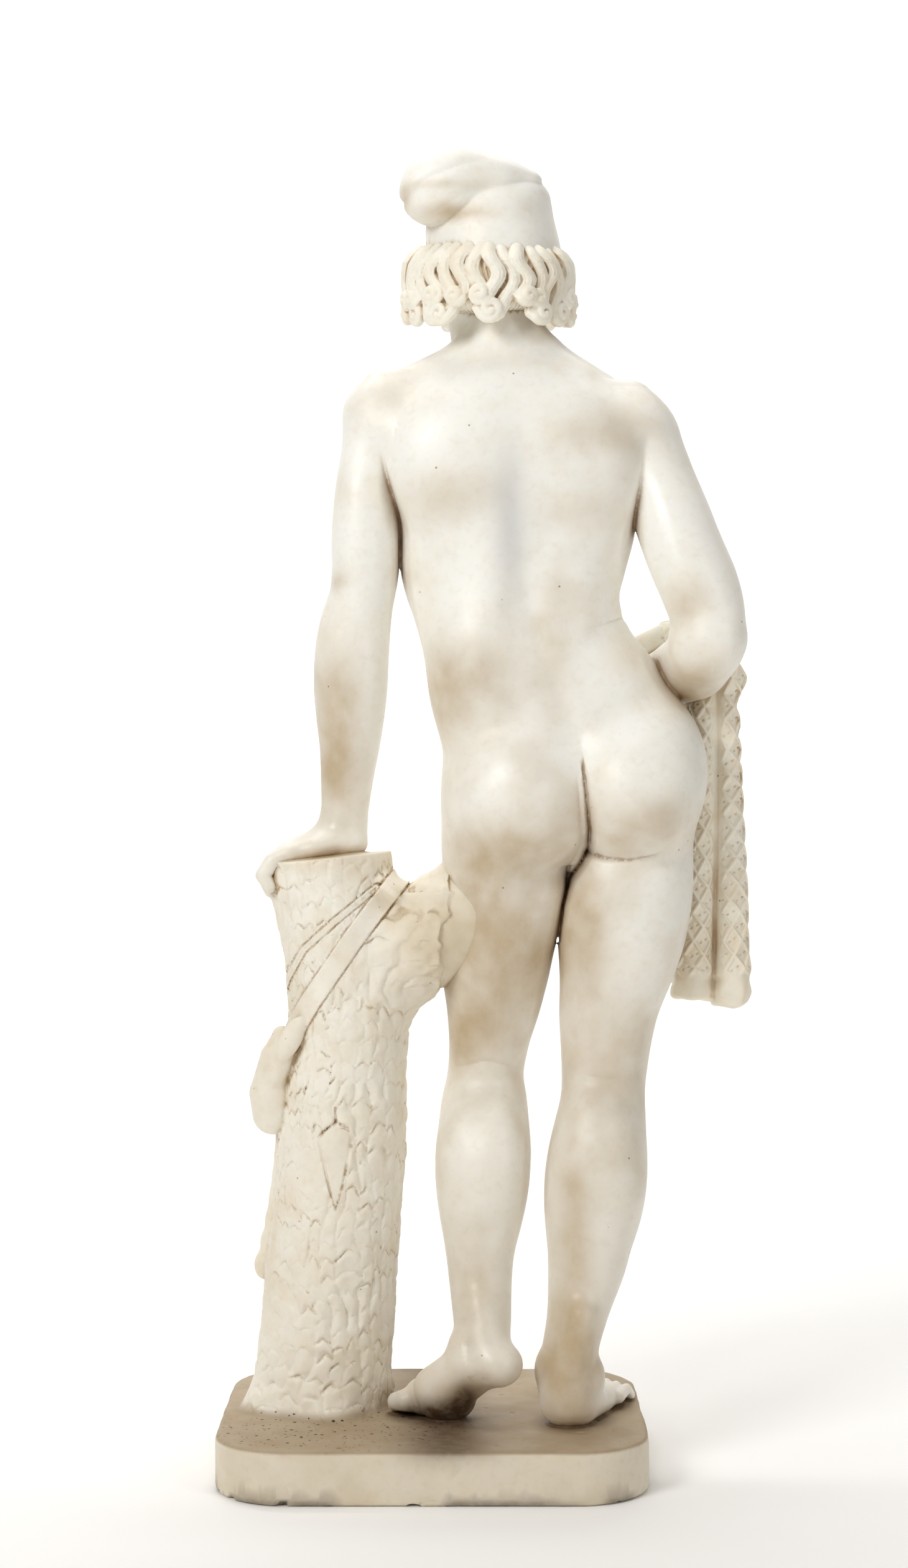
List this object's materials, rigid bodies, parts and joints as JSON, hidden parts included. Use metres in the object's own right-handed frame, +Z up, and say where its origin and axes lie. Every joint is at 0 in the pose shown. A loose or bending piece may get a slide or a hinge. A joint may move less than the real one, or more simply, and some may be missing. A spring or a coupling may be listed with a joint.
{
  "type": "classical marble statue",
  "caption": "Carved marble figure of a standing fisherman in a folded cap, leaning on a tree stump with a net over the forearm, made in the same block as its low plinth.",
  "frame": {"origin": "centre of the plinth's underside", "axes": "+Z up, +Y the way the figure faces, +X the figure's right-hand side"},
  "size_m": [0.5282, 0.342, 1.3218],
  "materials": {
    "marble": "white statuary marble, polished skin and rasped bark, cream patina"
  },
  "bodies": {
    "root": {"statue": "marble"}
  },
  "joints": []
}
